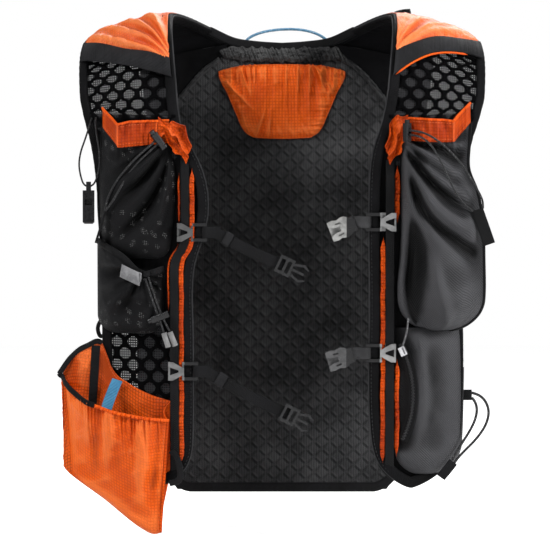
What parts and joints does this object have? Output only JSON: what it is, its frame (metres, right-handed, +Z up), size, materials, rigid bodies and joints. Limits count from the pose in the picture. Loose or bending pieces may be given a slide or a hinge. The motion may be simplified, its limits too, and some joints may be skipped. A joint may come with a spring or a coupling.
{
  "type": "hydration vest",
  "caption": "Trail-running hydration vest: quilted back panel, wide shoulder yoke, two pocketed front panels, sliding sternum straps, rear bag with reservoir.",
  "frame": {"origin": "middle of the back panel's flat wearer-side face", "axes": "+X to the wearer's left, +Y from chest to back, +Z up; the wearer-side face is the plane Y = 0"},
  "size_m": [0.3848, 0.3155, 0.4633],
  "materials": {
    "black_mesh": "padded 3-D spacer mesh",
    "orange_ripstop": "coated ripstop",
    "black_stretch": "matt stretch weave",
    "black_ripstop": "ripstop",
    "webbing": "woven",
    "clip_grey": "moulded",
    "buckle_black": "moulded",
    "buckle_grey": "moulded",
    "zip": "coil on tape",
    "zip_metal": "satin",
    "cord_black": "braided elastic",
    "cord_blue": "braided",
    "cord_grey": "braided",
    "reservoir_film": "clear film",
    "reservoir_clamp": "moulded"
  },
  "bodies": {
    "pack": {"back_panel": "black_mesh", "nape_patch": "orange_ripstop", "main_bag": "black_ripstop", "main_zip": "zip", "rear_pocket": "black_stretch", "reservoir_sleeve": "black_ripstop", "reservoir": "reservoir_film", "reservoir_clamp": "reservoir_clamp", "shoulder_yoke": "black_mesh", "shoulder_patches": "orange_ripstop", "side_wings": "black_mesh", "hang_loop": "cord_blue"},
    "left_front": {"left_panel": "black_mesh", "left_rail": "webbing", "left_bottle_pocket": "black_stretch", "left_bottle_cuff": "orange_ripstop", "zip_pocket": "black_stretch", "pocket_zip": "zip", "left_pull_tab": "webbing", "left_drawcord_outer": "cord_black", "left_drawcord_inner": "cord_black", "side_cord_outer": "cord_black", "side_cord_inner": "cord_black", "side_cord_tabs": "webbing"},
    "right_front": {"right_panel": "black_mesh", "right_rail": "webbing", "right_bottle_pocket": "black_stretch", "right_bottle_cuff": "orange_ripstop", "stash_pocket": "black_stretch", "side_pouch": "orange_ripstop", "right_pull_tab": "webbing", "right_drawcord_outer": "cord_black", "right_drawcord_inner": "cord_black", "stash_cord_outer": "cord_black", "stash_cord_inner": "cord_black", "stash_cord_clamps": "clip_grey"},
    "left_upper_clip": {"left_upper_clip": "clip_grey"},
    "left_upper_strap": {"left_upper_strap": "webbing", "left_upper_buckle": "buckle_grey"},
    "left_lower_clip": {"left_lower_clip": "clip_grey"},
    "left_lower_strap": {"left_lower_strap": "webbing", "left_lower_buckle": "buckle_grey"},
    "right_upper_clip": {"right_upper_clip": "clip_grey"},
    "right_upper_strap": {"right_upper_strap": "webbing", "right_upper_buckle": "buckle_black"},
    "right_lower_clip": {"right_lower_clip": "clip_grey"},
    "right_lower_strap": {"right_lower_strap": "webbing", "right_lower_buckle": "buckle_black"},
    "pocket_zip_slider": {"pocket_zip_slider": "zip_metal", "pocket_zip_cord": "cord_grey"},
    "main_zip_slider": {"main_zip_slider": "zip_metal"},
    "main_zip_pull": {"main_zip_pull": "zip_metal"},
    "whistle": {"whistle": "buckle_black", "whistle_cord": "cord_black"},
    "left_lock": {"left_lock": "buckle_black"},
    "left_lock_button": {"left_lock_button": "buckle_grey"},
    "right_lock": {"right_lock": "buckle_black"},
    "right_lock_button": {"right_lock_button": "buckle_grey"},
    "stash_lock": {"stash_lock": "buckle_black"},
    "stash_lock_button": {"stash_lock_button": "buckle_grey"}
  },
  "joints": [
    {"name": "left_front_swing", "type": "hinge", "parent": "pack", "child": "left_front", "pos_m": [0.16, -0.11891, -0.01715], "axis": [0, -0.0872, 0.9962], "range_deg": [-8, 25]},
    {"name": "left_upper_clip_slide", "type": "slide", "parent": "left_front", "child": "left_upper_clip", "axis": [0, -0.0872, 0.9962], "range_m": [-0.044, 0.036]},
    {"name": "left_upper_strap_swing", "type": "hinge", "parent": "left_upper_clip", "child": "left_upper_strap", "pos_m": [0.0745, -0.15368, 0.03702], "axis": [0, -0.0872, 0.9962], "range_deg": [-60, 110]},
    {"name": "left_lower_clip_slide", "type": "slide", "parent": "left_front", "child": "left_lower_clip", "axis": [0, -0.0872, 0.9962], "range_m": [-0.089, 0]},
    {"name": "left_lower_strap_swing", "type": "hinge", "parent": "left_lower_clip", "child": "left_lower_strap", "pos_m": [0.0745, -0.14366, -0.07754], "axis": [0, -0.0872, 0.9962], "range_deg": [-60, 110]},
    {"name": "right_front_swing", "type": "hinge", "parent": "pack", "child": "right_front", "pos_m": [-0.16, -0.11891, -0.01715], "axis": [0, 0.0872, -0.9962], "range_deg": [-8, 25]},
    {"name": "right_upper_clip_slide", "type": "slide", "parent": "right_front", "child": "right_upper_clip", "axis": [0, -0.0872, 0.9962], "range_m": [-0.0017, 0.049]},
    {"name": "right_upper_strap_swing", "type": "hinge", "parent": "right_upper_clip", "child": "right_upper_strap", "pos_m": [-0.067, -0.1529, 0.02806], "axis": [0, 0.0872, -0.9962], "range_deg": [-60, 110]},
    {"name": "right_lower_clip_slide", "type": "slide", "parent": "right_front", "child": "right_lower_clip", "axis": [0, -0.0872, 0.9962], "range_m": [-0.077, 0.0875]},
    {"name": "right_lower_strap_swing", "type": "hinge", "parent": "right_lower_clip", "child": "right_lower_strap", "pos_m": [-0.075, -0.14226, -0.09348], "axis": [0, 0.0872, -0.9962], "range_deg": [-60, 110]},
    {"name": "pocket_zip_run", "type": "hinge", "parent": "left_front", "child": "pocket_zip_slider", "pos_m": [0.03218, -0.11099, -0.11182], "axis": [0.3379, 0.9376, 0.082], "range_deg": [0, 52]},
    {"name": "main_zip_run", "type": "hinge", "parent": "pack", "child": "main_zip_slider", "pos_m": [0, 0.08374, 0.0451], "axis": [0, -0.9516, -0.3074], "range_deg": [-120, 0]},
    {"name": "main_zip_pull_lift", "type": "hinge", "parent": "main_zip_slider", "child": "main_zip_pull", "pos_m": [-0.07897, 0.07369, 0.09147], "axis": [0.866, 0.1537, -0.4758], "range_deg": [0, 80]},
    {"name": "whistle_swing", "type": "hinge", "parent": "right_front", "child": "whistle", "pos_m": [-0.1658, -0.134, 0.1285], "axis": [-1, 0, 0], "range_deg": [0, 70]},
    {"name": "left_lock_slide", "type": "slide", "parent": "left_front", "child": "left_lock", "axis": [0.7071, -0.7044, -0.0616], "range_m": [0, 0.003]},
    {"name": "left_lock_press", "type": "slide", "parent": "left_lock", "child": "left_lock_button", "axis": [0, 0.0872, -0.9962], "range_m": [0, 0.002], "stiffness_N_per_m": 250, "springref_m": -0.0005},
    {"name": "right_lock_slide", "type": "slide", "parent": "right_front", "child": "right_lock", "axis": [-0.7254, -0.2531, -0.6402], "range_m": [0, 0.002]},
    {"name": "right_lock_press", "type": "slide", "parent": "right_lock", "child": "right_lock_button", "axis": [0.5667, 0.3083, -0.764], "range_m": [0, 0.002], "stiffness_N_per_m": 250, "springref_m": -0.0005},
    {"name": "stash_lock_slide", "type": "slide", "parent": "right_front", "child": "stash_lock", "axis": [0.3584, 0.0814, -0.93], "range_m": [-0.004, 0.002]},
    {"name": "stash_lock_press", "type": "slide", "parent": "stash_lock", "child": "stash_lock_button", "axis": [0.9336, -0.0312, 0.357], "range_m": [0, 0.002], "stiffness_N_per_m": 250, "springref_m": -0.0005}
  ]
}
